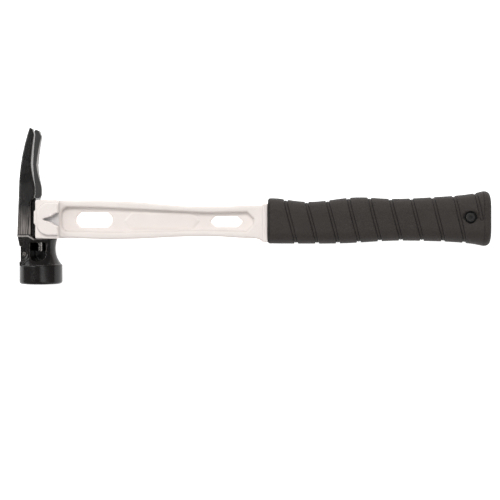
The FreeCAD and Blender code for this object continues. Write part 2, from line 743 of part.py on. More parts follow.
def make_core():
    """Hard moulded core of the grip, over the tang."""
    core = body("grip_core")
    centre, wide, thick = dim("tang_y"), dim("core_half_y"), dim("core_half_z")
    outer = sketch_on(core, "outer", "YZ_Plane", lift=dim("core_start"))
    outline(outer, round_box(centre - wide, -thick, centre + wide, thick, dim("core_corner")))
    pad(core, outer, dim("core_end") - dim("core_start"), middle=False)
    gap = dim("fit_gap")
    cavity = sketch_on(core, "tang_cavity", "YZ_Plane", lift=dim("core_start"))
    outline(cavity, box_corners(centre - dim("tang_half_y") - gap, -dim("tang_half_z") - gap,
                                centre + dim("tang_half_y") + gap, dim("tang_half_z") + gap))
    pocket(core, cavity, dim("tang_end") - dim("core_start") + gap, up=True)
    socket = sketch_on(core, "cap_socket", "YZ_Plane", lift=dim("core_end"))
    outline(socket, box_corners(centre - dim("cap_spigot_half_y") - gap,
                                -dim("cap_spigot_half_z") - gap,
                                centre + dim("cap_spigot_half_y") + gap,
                                dim("cap_spigot_half_z") + gap))
    pocket(core, socket, dim("cap_spigot"))
    cross = ring(sketch_on(core, "cross_hole"), dim("screw_x"), dim("screw_y"),
                 dim("cross_hole_radius"))
    pocket(core, cross, thick * 2, middle=True)
    return core


def grip_section(made, station):
    """The rounded outline of the grip at one place along it."""
    _, top, low, thick, corner = station
    return outline(made, round_box(low, -thick, top, thick, corner))


def make_overlay():
    """Soft rubber overlay that is moulded round the core."""
    overlay = body("grip_overlay")
    sections = []
    for i, station in enumerate(GRIP_STATIONS):
        section = sketch_on(overlay, f"section_{i + 1}", "YZ_Plane", lift=station[0])
        sections.append(grip_section(section, station))
    doc.recompute()
    skin = overlay.newObject("PartDesign::AdditiveLoft", "skin")
    skin.Profile = sections[0]
    skin.Sections = sections[1:]
    skin.Ruled = False
    centre, gap = dim("tang_y"), dim("overlay_gap")
    wide, thick = dim("core_half_y") + gap, dim("core_half_z") + gap
    bore = sketch_on(overlay, "bore", "YZ_Plane", lift=dim("grip_start") - dim("overshoot"))
    outline(bore, round_box(centre - wide, -thick, centre + wide, thick, dim("core_corner") + gap))
    pocket(overlay, bore, dim("overlay_end") - dim("grip_start") + dim("overshoot") * 2, up=True)
    recess = ring(sketch_on(overlay, "screw_recess"), dim("screw_x"), dim("screw_y"),
                  dim("recess_radius"))
    pocket(overlay, recess, dim("half_width") * 2, middle=True)
    return overlay


def make_cap():
    """Moulded butt cap with a spigot that is pressed into the core."""
    cap = body("grip_cap")
    disc = sketch_on(cap, "disc", "YZ_Plane", lift=dim("overlay_end"))
    grip_section(disc, GRIP_STATIONS[-1])
    pad(cap, disc, dim("overall_length") - dim("overlay_end"), middle=False)
    dress(cap, "Fillet", "butt_edge", dim("cap_edge"), lambda edge: (
        edge.BoundBox.XMin > DIMENSIONS["overall_length"] - 1e-4))
    spigot = sketch_on(cap, "spigot", "YZ_Plane", lift=dim("overlay_end") + dim("cap_root"))
    centre = dim("tang_y")
    outline(spigot, box_corners(centre - dim("cap_spigot_half_y"), -dim("cap_spigot_half_z"),
                                centre + dim("cap_spigot_half_y"), dim("cap_spigot_half_z")))
    pad(cap, spigot, dim("cap_spigot") + dim("cap_root") - dim("cap_gap"), middle=False, down=True)
    return cap


def make_screw():
    """Button-head screw that clamps the grip to the tang."""
    screw = body("grip_screw")
    seat = dim("core_half_z") + dim("screw_washer_thick")
    place = (dim("screw_x"), dim("screw_y"))
    shank = ring(sketch_on(screw, "shank", lift=seat), *place, dim("screw_radius"))
    pad(screw, shank, seat - dim("screw_tip_z"), middle=False, down=True)
    button = ring(sketch_on(screw, "button", lift=seat), *place, dim("screw_head_radius"))
    pad(screw, button, dim("screw_head_height"), middle=False)
    top = seat + dim("screw_head_height")
    dress(screw, "Fillet", "button_edge", dim("screw_head_edge"), lambda edge: flat_at(edge, top.number))
    key = hexagon(sketch_on(screw, "key", lift=top), *place, dim("screw_key_radius"))
    pocket(screw, key, dim("screw_key_depth"))
    return screw


def make_screw_washer():
    washer = body("grip_screw_washer")
    flat = sketch_on(washer, "flat", lift=dim("core_half_z"))
    ring(flat, dim("screw_x"), dim("screw_y"), dim("screw_washer_radius"), dim("screw_bore_radius"))
    pad(washer, flat, dim("screw_washer_thick"), middle=False)
    return washer


def make_nut():
    """Flanged sleeve nut, in from the far side, that the grip screw turns into."""
    nut = body("grip_nut")
    place = (dim("screw_x"), dim("screw_y"))
    flange = ring(sketch_on(nut, "flange", lift=-dim("core_half_z")), *place,
                  dim("nut_flange_radius"))
    pad(nut, flange, dim("nut_flange_thick"), middle=False, down=True)
    sleeve = ring(sketch_on(nut, "sleeve", lift=-dim("core_half_z")), *place, dim("nut_radius"))
    pad(nut, sleeve, dim("nut_top_z") + dim("core_half_z"), middle=False)
    bore = ring(sketch_on(nut, "bore", lift=dim("nut_top_z")), *place, dim("screw_bore_radius"))
    pocket(nut, bore, dim("nut_top_z") - dim("screw_tip_z") + dim("overshoot"))
    return nut


def finish(pieces):
    """Puts every piece in the part's own frame, checks all of it, and writes the solids."""
    middle_y = (dim("claw_tip_y") + dim("face_y")) / 2
    for piece in pieces:
        shift = Vector(-dim("overall_length").number / 2, -middle_y.number, dim("half_width").number)
        piece.Placement = Placement(shift, Rotation())
        piece.setExpression("Placement.Base.x", (-dim("overall_length") / 2).text)
        piece.setExpression("Placement.Base.y", (-middle_y).text)
        piece.setExpression("Placement.Base.z", dim("half_width").text)
    doc.recompute()
    for made in doc.Objects:
        if "Invalid" in made.State or "Error" in made.State:
            raise RuntimeError(f"{made.Name} is {made.State}")
    for piece in pieces:
        if piece.Shape.isNull() or not piece.Shape.isValid() or len(piece.Shape.Solids) != 1:
            raise RuntimeError(f"{piece.Label} is not one valid solid")
    os.makedirs("parts", exist_ok=True)
    for piece in pieces:
        piece.Shape.exportStep(f"parts/{piece.Label}.step")
        box = piece.Shape.optimalBoundingBox(False)
        print(f"{piece.Label:18s} {piece.Shape.Volume / 1000:7.2f} cm3   X {box.XMin:7.1f} {box.XMax:7.1f}"
              f"   Y {box.YMin:6.1f} {box.YMax:6.1f}   Z {box.ZMin:5.1f} {box.ZMax:5.1f}")


finish([make_handle(), make_head(), make_magnet(), make_bolt(), make_bolt_washer(), make_core(),
        make_overlay(), make_cap(), make_screw(), make_screw_washer(), make_nut()])
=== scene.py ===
# %% [markdown]
# # A straight-claw framing hammer
# The hammer lies on its side on a pale bench, seen from straight above. Its metal skeleton comes
# from the CAD frame. This script gives each piece its real surface: a glossy black forging for
# the head, a warm white powder coat on the handle, and a soft rubber grip with a spiral groove.
# Everything is in metres, in the CAD frame: X runs from the head to the butt, Y from the face to
# the claws, and Z up.

# %% Load the frame
import math

import bmesh
import bpy
import numpy as np
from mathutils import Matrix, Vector
from mathutils.bvhtree import BVHTree


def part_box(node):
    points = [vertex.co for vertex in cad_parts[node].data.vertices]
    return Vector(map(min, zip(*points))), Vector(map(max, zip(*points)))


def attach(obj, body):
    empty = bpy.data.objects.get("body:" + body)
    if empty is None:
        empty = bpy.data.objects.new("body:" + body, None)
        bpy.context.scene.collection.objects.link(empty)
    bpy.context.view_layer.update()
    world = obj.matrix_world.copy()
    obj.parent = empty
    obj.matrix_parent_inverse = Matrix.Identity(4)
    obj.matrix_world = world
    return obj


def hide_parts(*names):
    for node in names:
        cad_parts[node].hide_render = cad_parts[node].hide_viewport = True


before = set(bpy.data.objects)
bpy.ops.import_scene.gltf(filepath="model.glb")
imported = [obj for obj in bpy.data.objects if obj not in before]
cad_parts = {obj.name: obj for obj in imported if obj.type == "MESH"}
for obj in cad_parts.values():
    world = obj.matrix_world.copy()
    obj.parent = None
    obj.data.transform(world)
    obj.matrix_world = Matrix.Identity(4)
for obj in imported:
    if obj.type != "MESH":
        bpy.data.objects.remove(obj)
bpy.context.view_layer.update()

MM = 0.001

# %% [markdown]
# ## Places that the pieces share
# The poll is a round bar that touches the bench, so the box of the head gives its radius, its
# axis and the height of the tool's middle plane. The rest is measured from the ends of the box.

# %% Shared places
head_low, head_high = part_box("head")
poll_radius = (head_high.z - head_low.z) / 2
middle_z = (head_high.z + head_low.z) / 2
poll_x = head_low.x + poll_radius
core_low, core_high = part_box("grip_core")
core_y = (core_low.y + core_high.y) / 2
BLOCK_ABOVE_CORE = 2.2 * MM
overlay_low, overlay_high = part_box("grip_overlay")
block_y = core_y + BLOCK_ABOVE_CORE
print("middle plane at", round(middle_z / MM, 2), "mm, poll axis at", round(poll_x / MM, 2), "mm")

# %% [markdown]
# ## The camera
# A tool catalogue shows a hammer from straight above, through a long lens from about a metre
# away. The camera stands a little to the right of the middle, tilted slightly back towards the
# head, so the inner sides of the claws just show. The small shift puts the hammer high in the
# frame, where the catalogue has its text underneath.

# %% Camera
CAMERA_DISTANCE = 1.0
CAMERA_ALONG = 265 * MM
CAMERA_BELOW_BLOCK = 2.35 * MM
CAMERA_TILT = math.radians(2.9)
lens = bpy.data.cameras.new("catalogue_lens")
lens.lens = 83.4
lens.sensor_width = 36.0
lens.shift_x = -0.03
lens.shift_y = -0.056
camera = bpy.data.objects.new("catalogue_camera", lens)
camera.location = (head_low.x + CAMERA_ALONG, block_y - CAMERA_BELOW_BLOCK,
                   middle_z + CAMERA_DISTANCE)
camera.rotation_euler = (0, CAMERA_TILT, 0)
bpy.context.scene.collection.objects.link(camera)
bpy.context.scene.camera = camera
print("camera stands", round(camera.location.z, 3), "m above the bench")

# %% [markdown]
# ## Light and bench
# The light is soft: a dim even world, a bench that glows a little, one large softbox above and
# two narrow strips. The strips matter for the head, because a glossy black surface shows only
# what it mirrors.

# %% Bench
BENCH_REACH = 3.0
BENCH_DROP = 0.2 * MM


def make_bench():
    """A wide plain sheet under the hammer."""
    reach = BENCH_REACH
    mesh = bpy.data.meshes.new("bench")
    mesh.from_pydata([(-reach, -reach, 0), (reach, -reach, 0), (reach, reach, 0),
                      (-reach, reach, 0)], [], [(0, 1, 2, 3)])
    bench = bpy.data.objects.new("bench", mesh)
    bench.location.z = -BENCH_DROP
    bpy.context.scene.collection.objects.link(bench)
    paint = bpy.data.materials.new("bench_white")
    paint.use_nodes = True
    shader = paint.node_tree.nodes["Principled BSDF"]
    shader.inputs["Base Color"].default_value = (0.93, 0.93, 0.93, 1)
    shader.inputs["Roughness"].default_value = 1.0
    shader.inputs["Specular IOR Level"].default_value = 0.0
    shader.inputs["Emission Color"].default_value = (1, 1, 1, 1)
    shader.inputs["Emission Strength"].default_value = 0.8
    mesh.materials.append(paint)
    return bench


make_bench()

# %% Lights
def softbox(name, place, aim, size, power):
    """A rectangular area light that faces the aim."""
    light = bpy.data.lights.new(name, "AREA")
    light.shape = "RECTANGLE"
    light.size, light.size_y = size
    light.energy = power
    lamp = bpy.data.objects.new(name, light)
    lamp.location = place
    lamp.rotation_euler = (Vector(aim) - Vector(place)).to_track_quat("-Z", "Y").to_euler()
    bpy.context.scene.collection.objects.link(lamp)
    return lamp


softbox("softbox_above", (0.0, 0.8, 1.2), (0, 0, 0), (0.9, 0.5), 10.5)
softbox("strip_left", (-0.9, 0.1, 0.6), (-0.18, 0, 0), (0.1, 1.2), 4)
softbox("strip_right", (0.25, -0.15, 0.6), (-0.18, 0, 0), (0.10, 0.8), 0.7)

world = bpy.data.worlds.new("studio")
world.use_nodes = True
world.node_tree.nodes["Background"].inputs["Color"].default_value = (1.0, 1.0, 1.0, 1)
world.node_tree.nodes["Background"].inputs["Strength"].default_value = 0.30
bpy.context.scene.world = world
bpy.context.scene.view_settings.view_transform = "Standard"

# %% [markdown]
# ## A small kit for finishes
# Every finish here is the same recipe: a base colour that wanders a little, a roughness that
# wanders with it, and a bump made of noise at the size of the real grain. Object coordinates are
# metres, so a noise scale of 1000 gives features of about a millimetre.

# %% Finish helpers
class Finish:
    """A Principled material with helpers that add the usual pieces of its node tree."""

    def __init__(self, name, colour, roughness, metallic=0.0, specular=0.5, coat=0.0):
        self.material = bpy.data.materials.new(name)
        self.material.use_nodes = True
        self.tree = self.material.node_tree
        self.shader = self.tree.nodes["Principled BSDF"]
        self.shader.inputs["Base Color"].default_value = (*colour, 1)
        self.shader.inputs["Roughness"].default_value = roughness
        self.shader.inputs["Metallic"].default_value = metallic
        self.shader.inputs["Specular IOR Level"].default_value = specular
        self.shader.inputs["Coat Weight"].default_value = coat
        self.shader.inputs["Coat Roughness"].default_value = 0.12
        self.place = self.tree.nodes.new("ShaderNodeTexCoord").outputs["Object"]

    def link(self, output, socket):
        self.tree.links.new(output, socket)

    def noise(self, scale, detail=3.0, stretch=(1, 1, 1)):
        """Noise of a given fineness; stretch draws it out along an axis."""
        mapping = self.tree.nodes.new("ShaderNodeMapping")
        mapping.inputs["Scale"].default_value = stretch
        self.link(self.place, mapping.inputs["Vector"])
        made = self.tree.nodes.new("ShaderNodeTexNoise")
        made.inputs["Scale"].default_value = scale
        made.inputs["Detail"].default_value = detail
        self.link(mapping.outputs[0], made.inputs["Vector"])
        return made.outputs["Fac"]

    def spread(self, value, from_range, to_range):
        """The value stretched from one range to another, and clamped."""
        made = self.tree.nodes.new("ShaderNodeMapRange")
        made.inputs["From Min"].default_value, made.inputs["From Max"].default_value = from_range
        made.inputs["To Min"].default_value, made.inputs["To Max"].default_value = to_range
        self.link(value, made.inputs["Value"])
        return made.outputs["Result"]

    def calc(self, operation, first, second):
        """One Math node; each value is a number or a socket."""
        made = self.tree.nodes.new("ShaderNodeMath")
        made.operation = operation
        for socket, value in zip(made.inputs, (first, second)):
            if isinstance(value, (int, float)):
                socket.default_value = value
            else:
                self.link(value, socket)
        return made.outputs[0]

    def blend(self, factor, first, second):
        """A mix of two colours, each a colour or another socket."""
        made = self.tree.nodes.new("ShaderNodeMix")
        made.data_type = "RGBA"
        self.link(factor, made.inputs["Factor"])
        for socket, value in ((made.inputs[6], first), (made.inputs[7], second)):
            if isinstance(value, tuple):
                socket.default_value = (*value, 1)
            else:
                self.link(value, socket)
        return made.outputs[2]

    def colour(self, output):
        self.link(output, self.shader.inputs["Base Color"])

    def roughness(self, output):
        self.link(output, self.shader.inputs["Roughness"])

    def bump(self, height, distance, strength=1.0):
        """Adds a layer of bump; a second call adds to the first."""
        made = self.tree.nodes.new("ShaderNodeBump")
        made.inputs["Distance"].default_value = distance
        made.inputs["Strength"].default_value = strength
        self.link(height, made.inputs["Height"])
        normal = self.shader.inputs["Normal"]
        if normal.is_linked:
            self.link(normal.links[0].from_socket, made.inputs["Normal"])
        self.link(made.outputs["Normal"], normal)

    def attribute(self, name):
        """A value that was kept on the mesh."""
        made = self.tree.nodes.new("ShaderNodeAttribute")
        made.attribute_name = name
        return made.outputs["Fac"]

    def axis(self, index):
        """One of the three Object coordinates."""
        made = self.tree.nodes.new("ShaderNodeSeparateXYZ")
        self.link(self.place, made.inputs[0])
        return made.outputs[index]

    def height(self):
        """How far a point is from the tool's middle plane."""
        return self.calc("ABSOLUTE", self.calc("SUBTRACT", self.axis(2), middle_z), 0)


def dress(node_or_piece, finish):
    """Gives a CAD node, by its name, or a new piece one finish; a new piece gets a slot too."""
    if isinstance(node_or_piece, str):
        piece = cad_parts[node_or_piece]
        for place in piece.material_slots:
            place.material = finish.material
        return piece
    node_or_piece.data.materials.clear()
    node_or_piece.data.materials.append(finish.material)
    return node_or_piece


print("finish helpers ready")

# %% [markdown]
# ## White powder coat
# Powder coat is thick and soft-edged. Under the light it is almost one colour, a warm white, but
# it has a fine orange-peel skin. The sharp edges get a painted highlight, a lighter white, and the
# corners get painted shade, a grey. The "edge" attribute, measured on the mesh later, says which
# is which. The floors of the recesses are painted greyer, a painted shade, most of all near the
# head.

# %% White powder coat
# Where the painted shade on the recess floors lies: by height, and along the handle.
RECESS_TOP = (10.6 * MM, 9.6 * MM)
RECESS_BOTTOM = (8.4 * MM, 8.8 * MM)
RECESS_ALONG = (head_low.x + 23 * MM, head_low.x + 37 * MM)


def powder_coat():
    finish = Finish("white_powder_coat", (0.86, 0.79, 0.75), 0.46, specular=0.35, coat=0.08)
    cloud = finish.spread(finish.noise(38, 3), (0.35, 0.65), (0, 1))
    tint = finish.blend(cloud, (0.868, 0.800, 0.762), (0.842, 0.772, 0.736))
    speck = finish.spread(finish.noise(2600, 2), (0.66, 0.74), (0, 0.22))
    tint = finish.blend(speck, tint, (0.62, 0.55, 0.51))
    # Painted shade: the hollows, found by the edge curvature, are painted grey.
    hollow_shade = finish.spread(finish.attribute("edge"), (0.48, 0.28), (0, 0.28))
    tint = finish.blend(hollow_shade, tint, (0.56, 0.54, 0.54))
    # Painted shade: the floors of the recesses are painted grey, most of all near the head.
    height = finish.height()
    floor = finish.calc("MULTIPLY", finish.spread(height, RECESS_TOP, (0, 1)),
                        finish.spread(height, RECESS_BOTTOM, (0, 1)))
    to_shank = finish.spread(finish.axis(0), RECESS_ALONG, (0.95, 0.5))
    tint = finish.blend(finish.calc("MULTIPLY", floor, to_shank), tint, (0.40, 0.41, 0.425))
    # Painted highlight: the crests, found by the edge curvature, are painted a lighter white.
    crest = finish.spread(finish.attribute("edge"), (0.62, 0.85), (0, 0.35))
    tint = finish.blend(crest, tint, (0.95, 0.90, 0.88))
    finish.colour(tint)
    finish.roughness(finish.spread(finish.noise(260, 3), (0.3, 0.7), (0.40, 0.54)))
    finish.bump(finish.noise(900, 2), 0.05 * MM, 0.5)
    finish.bump(finish.noise(240, 2), 0.08 * MM, 0.35)
    return finish


white_coat = powder_coat()
print("made", white_coat.material.name)

# %% [markdown]
# ## Black forged steel
# The head is forged, ground and blackened, then oiled. It is nearly black, with slow waves left
# by the forging and very fine grinding lines that run towards the claws. On each cheek, beside
# the handle, the steel is brushed in long streaks, and this band is painted grey, strongest at
# its end towards the face and fading towards the claws: the brushing is real, the grey is a
# painted reflection. The attribute "ridge" marks the raised ridge, which gets a painted
# highlight, and "inner" marks the flat lands of the claws that face the handle, which get a
# painted sheen.

# %% Black forged steel
# Where the brushed band with its painted reflection lies on each cheek.
BRUSHED_SHEEN_START = (block_y - 13.4 * MM, block_y - 12.4 * MM)
BRUSHED_SHEEN_FADE = (block_y - 7 * MM, block_y + 12 * MM)
BRUSHED_SHEEN_SIDE = (head_low.x + 13.4 * MM, head_low.x + 12.0 * MM)
CHEEK_HEIGHT = (12.1 * MM, 12.6 * MM)
CLAWS_START = (block_y + 30 * MM, block_y + 44 * MM)


def forged_black():
    finish = Finish("black_forged_steel", (0.006, 0.0055, 0.005), 0.2, specular=0.22, coat=0.12)
    cloud = finish.spread(finish.noise(90, 4), (0.35, 0.65), (0, 1))
    tint = finish.blend(cloud, (0.0040, 0.0033, 0.0030), (0.0095, 0.0080, 0.0074))
    crest = finish.spread(finish.attribute("edge"), (0.58, 0.86), (0, 1))
    chips = finish.spread(finish.noise(700, 3), (0.42, 0.62), (0.0, 0.6))
    chipped = finish.calc("MULTIPLY", crest, chips)
    tint = finish.blend(chipped, tint, (0.13, 0.115, 0.106))
    streak = finish.noise(1500, 4, stretch=(1.0, 0.035, 1.0))
    along = finish.axis(1)
    start = finish.spread(along, BRUSHED_SHEEN_START, (0, 1))
    fade = finish.spread(along, BRUSHED_SHEEN_FADE, (1, 0))
    left_side = finish.spread(finish.axis(0), BRUSHED_SHEEN_SIDE, (0, 1))
    on_cheek = finish.spread(finish.height(), CHEEK_HEIGHT, (0, 1))
    # The brushed band on the cheeks; its grey is a painted reflection that fades towards the claws.
    brushed_sheen_band = finish.calc("MULTIPLY", finish.calc("MULTIPLY", start, fade),
                       finish.calc("MULTIPLY", left_side, on_cheek))
    # Painted reflection: the brushed band is painted grey in long streaks.
    brushed_sheen = finish.calc("MULTIPLY", brushed_sheen_band, finish.spread(streak, (0.38, 0.62), (0.1, 1.0)))
    tint = finish.blend(brushed_sheen, tint, (0.27, 0.243, 0.228))
    # Painted highlight: the raised ridge is painted a bright grey, in patches.
    highlight_patches = finish.spread(finish.noise(500, 2), (0.3, 0.5), (0.55, 1))
    ridge = finish.calc("MULTIPLY", finish.attribute("ridge"), highlight_patches)
    tint = finish.blend(ridge, tint, (0.50, 0.47, 0.45))
    # Painted sheen: the claws' lands that face the handle are painted a lighter warm grey.
    slow = finish.noise(26, 2, stretch=(1.0, 0.35, 1.0))
    claws = finish.spread(along, CLAWS_START, (0, 1))
    inner = finish.calc("MULTIPLY", claws, finish.attribute("inner"))
    inner = finish.calc("MULTIPLY", inner, finish.spread(slow, (0.35, 0.6), (0.35, 1)))
    tint = finish.blend(inner, tint, (0.105, 0.088, 0.080))
    finish.colour(tint)
    rough = finish.spread(finish.noise(420, 3), (0.3, 0.7), (0.14, 0.26))
    finish.roughness(finish.calc("ADD", rough, finish.calc("MULTIPLY", brushed_sheen_band, 0.15)))
    finish.bump(finish.noise(1500, 3, stretch=(1.0, 0.06, 1.0)), 0.012 * MM, 0.5)
    finish.bump(finish.noise(150, 2), 0.14 * MM, 0.3)
    return finish


black_steel = forged_black()
print("made", black_steel.material.name)

# %% [markdown]
# ## Grip rubber
# The grip is a soft rubber, a dark warm grey rather than black, and quite matt. Its skin was
# spark-textured in the mould, so it has a fine even grain with no direction. The bottom of the
# groove and the other hollows are painted near black, a painted shade. A narrow stippled band
# runs round the front edge.

# %% Grip rubber
BAND_EDGE = (overlay_low.x + 2.4 * MM, overlay_low.x + 1.7 * MM)


def grip_rubber():
    finish = Finish("textured_rubber", (0.03, 0.026, 0.024), 0.72, specular=0.25)
    cloud = finish.spread(finish.noise(70, 3), (0.3, 0.7), (0, 1))
    tint = finish.blend(cloud, (0.034, 0.0285, 0.026), (0.027, 0.0225, 0.0205))
    grain = finish.spread(finish.noise(1700, 3), (0.40, 0.68), (0, 1))
    tint = finish.blend(grain, tint, (0.052, 0.044, 0.040))
    # Painted shade: the groove's bottom and other hollows are painted near black.
    hollow_shade = finish.spread(finish.attribute("edge"), (0.46, 0.25), (0, 0.75))
    tint = finish.blend(hollow_shade, tint, (0.004, 0.0032, 0.003))
    band = finish.spread(finish.axis(0), BAND_EDGE, (0, 1))
    teeth = finish.spread(finish.noise(1500, 1), (0.42, 0.58), (0, 1))
    tint = finish.blend(finish.calc("MULTIPLY", band, teeth), tint, (0.008, 0.007, 0.007))
    finish.colour(tint)
    finish.roughness(finish.spread(finish.noise(900, 2), (0.3, 0.7), (0.62, 0.80)))
    finish.bump(finish.calc("MULTIPLY", band, teeth), 0.5 * MM, 0.8)
    finish.bump(finish.noise(1700, 3), 0.10 * MM, 0.55)
    finish.bump(finish.noise(5200, 2), 0.04 * MM, 0.4)
    finish.shader.inputs["Sheen Weight"].default_value = 0.05
    finish.shader.inputs["Sheen Roughness"].default_value = 0.5
    return finish


rubber = grip_rubber()
print("made", rubber.material.name)

# %% [markdown]
# ## Screws and small parts
# The head bolt and its washer are zinc plated and oiled. The grip screw, its washer and its nut
# are black oxide. The magnet has a nickel skin, and the core is a hard plastic. All of them have a
# much finer grain than the forging.

# %% Small finishes
def small_finish(name, colour, roughness, metallic, wear):
    """A plain finish with a fine grain, for a small part."""
    finish = Finish(name, colour, roughness, metallic=metallic, specular=0.5)
    cloud = finish.spread(finish.noise(800, 3), (0.35, 0.65), (0, 1))
    finish.colour(finish.blend(cloud, colour, wear))
    finish.roughness(finish.spread(finish.noise(1800, 3), (0.3, 0.7),
                                   (roughness * 0.8, roughness * 1.3)))
    finish.bump(finish.noise(3200, 2), 0.02 * MM, 0.4)
    return finish


zinc = small_finish("oiled_zinc", (0.20, 0.19, 0.18), 0.14, 1.0, (0.12, 0.115, 0.11))
nickel = small_finish("nickel_skin", (0.16, 0.15, 0.14), 0.22, 1.0, (0.10, 0.095, 0.09))
oxide = small_finish("black_oxide", (0.012, 0.011, 0.0105), 0.4, 0.3, (0.022, 0.020, 0.019))
hard_plastic = small_finish("hard_core_plastic", (0.03, 0.03, 0.03), 0.5, 0.0,
                            (0.045, 0.045, 0.045))
print("made four small finishes")

# %% [markdown]
# ## Soft edges for forgings
# No edge on a forged or powder-coated part is truly sharp. The CAD solids have crisp edges, so a
# copy is turned into an even skin of small quads by a voxel remesh, and a few rounds of
# smoothing roll every edge over by about half a millimetre. The curvature is then measured at
# each vertex and kept as the attribute "edge": half is flat, more is a crest, less is a hollow.

# %% Mesh helpers
WELD = 0.002 * MM


def new_piece(name, mesh):
    """An object at the origin that holds the mesh."""
    piece = bpy.data.objects.new(name, mesh)
    bpy.context.scene.collection.objects.link(piece)
    return piece


def merged_copy(node, name):
    """A welded copy of a CAD node's mesh."""
    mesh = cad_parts[node].data.copy()
    mesh.name = name
    form = bmesh.new()
    form.from_mesh(mesh)
    bmesh.ops.remove_doubles(form, verts=form.verts, dist=WELD)
    form.to_mesh(mesh)
    form.free()
    return mesh


def cut_across(mesh, x, keep_right):
    """Cuts a mesh at a plane across the handle, keeps one side, and closes the cut."""
    form = bmesh.new()
    form.from_mesh(mesh)
    everything = form.verts[:] + form.edges[:] + form.faces[:]
    cut = bmesh.ops.bisect_plane(form, geom=everything, plane_co=(x, 0, 0), plane_no=(1, 0, 0),
                                 clear_inner=keep_right, clear_outer=not keep_right)
    rim = [part for part in cut["geom_cut"] if isinstance(part, bmesh.types.BMEdge)]
    bmesh.ops.triangle_fill(form, edges=rim, use_beauty=True)
    bmesh.ops.recalc_face_normals(form, faces=form.faces)
    form.to_mesh(mesh)
    form.free()


def settled(piece):
    """Turns the piece's modifiers into plain mesh."""
    bpy.context.view_layer.update()
    evaluated = piece.evaluated_get(bpy.context.evaluated_depsgraph_get())
    mesh = bpy.data.meshes.new_from_object(evaluated)
    piece.modifiers.clear()
    old = piece.data
    piece.data = mesh
    bpy.data.meshes.remove(old)
    return piece


def soften(piece, voxel, rounds):
    """An even skin of quads, smoothed."""
    remesh = piece.modifiers.new("skin", "REMESH")
    remesh.mode = "VOXEL"
    remesh.voxel_size = voxel
    smooth = piece.modifiers.new("roll_edges", "SMOOTH")
    smooth.factor = 0.5
    smooth.iterations = rounds
    return settled(piece)


def vectors_of(mesh, name="co"):
    """One vector for each vertex: "co" for its place, "normal" for the way it faces."""
    values = np.empty(len(mesh.vertices) * 3)
    mesh.vertices.foreach_get(name, values)
    return values.reshape(-1, 3)


def keep_values(mesh, name, values):
    """Keeps one number for each vertex as an attribute."""
    layer = mesh.attributes.new(name, "FLOAT", "POINT")
    layer.data.foreach_set("value", np.asarray(values, np.float32))


def measure_edges(piece, gain, rounds=2):
    """Keeps the curvature at each vertex as the attribute "edge"."""
    mesh = piece.data
    points = vectors_of(mesh)
    normals = vectors_of(mesh, "normal")
    ends = np.empty(len(mesh.edges) * 2, int)
    mesh.edges.foreach_get("vertices", ends)
    a, b = ends.reshape(-1, 2).T
    run = points[b] - points[a]
    run /= np.maximum(np.linalg.norm(run, axis=1, keepdims=True), 1e-9)
    rise, count = np.zeros(len(points)), np.zeros(len(points))
    np.add.at(rise, a, (normals[a] * run).sum(1))
    np.add.at(rise, b, -(normals[b] * run).sum(1))
    np.add.at(count, a, 1)
    np.add.at(count, b, 1)
    value = -rise / np.maximum(count, 1)
    for _ in range(rounds):
        total = np.zeros(len(points))
        np.add.at(total, a, value[b])
        np.add.at(total, b, value[a])
        value = (value + total / np.maximum(count, 1)) / 2
    value = np.clip(0.5 + gain * value, 0, 1)
    keep_values(mesh, "edge", value)
    print(piece.name, "edge from", round(float(value.min()), 2), "to", round(float(value.max()), 2))


def shade_smooth(piece):
    """Rounds the shading between faces."""
    piece.data.polygons.foreach_set("use_smooth", [True] * len(piece.data.polygons))
    piece.data.update()


def triangles(piece):
    """How many triangles the piece has once its faces are split."""
    return sum(len(face.vertices) - 2 for face in piece.data.polygons)


# %% [markdown]
# ## The head
# One forging: a round poll with a smooth face, a waisted neck, a flat spine and two long claws.
# A raised ridge crosses each cheek just below the handle, where the spine's ground flat ends.

# %% Head
RIDGE_HEIGHT = 0.55 * MM
RIDGE_WIDTH = 0.6 * MM
RIDGE_LEVEL = -14.6 * MM
RIDGE_BEND, RIDGE_SLANT, RIDGE_SLOPE = 10.5 * MM, 5 * MM, 0.55
RIDGE_END, RIDGE_FADE = 16.5 * MM, 3 * MM
CHEEK_FLAT, CHEEK_FADE = 11.6 * MM, 0.7 * MM
LAND_FACING, LAND_GAIN = 0.90, 14


def raise_ridge(piece):
    """The ridge across both cheeks: level beside the spine, then slanting down to the neck."""
    points = vectors_of(piece.data)
    x, y = points[:, 0] - head_low.x, points[:, 1] - block_y
    line = RIDGE_LEVEL - np.clip(x - RIDGE_BEND, 0, RIDGE_SLANT) * RIDGE_SLOPE
    off = np.exp(-(((y - line) / RIDGE_WIDTH) ** 2))
    height = points[:, 2] - middle_z
    flat = np.clip((np.abs(height) - CHEEK_FLAT) / CHEEK_FADE, 0, 1)
    reach = np.clip((RIDGE_END - x) / RIDGE_FADE, 0, 1)
    points[:, 2] += np.sign(height) * off * flat * reach * RIDGE_HEIGHT
    piece.data.vertices.foreach_set("co", points.ravel())
    keep_values(piece.data, "ridge", off * flat * reach)
    piece.data.update()


# The lands marked here get a painted sheen in the black steel.
def mark_inner(piece):
    """Marks the flat lands on the inner sides of the claws, which face the handle squarely."""
    sideways = vectors_of(piece.data, "normal")[:, 0]
    keep_values(piece.data, "inner", np.clip((sideways - LAND_FACING) * LAND_GAIN, 0, 1))


head = new_piece("forged_head", merged_copy("head", "forged_head"))
soften(head, voxel=0.43 * MM, rounds=4)
raise_ridge(head)
mark_inner(head)
shade_smooth(head)
measure_edges(head, gain=2.2)
dress(head, black_steel)
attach(head, "hammer")
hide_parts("head")
print("head:", triangles(head), "triangles")

# %% [markdown]
# ## The handle
# The shank, its block and its collar get the same soft skin. The tang is hidden in the grip, so
# it stays as crisp and light as the CAD made it.

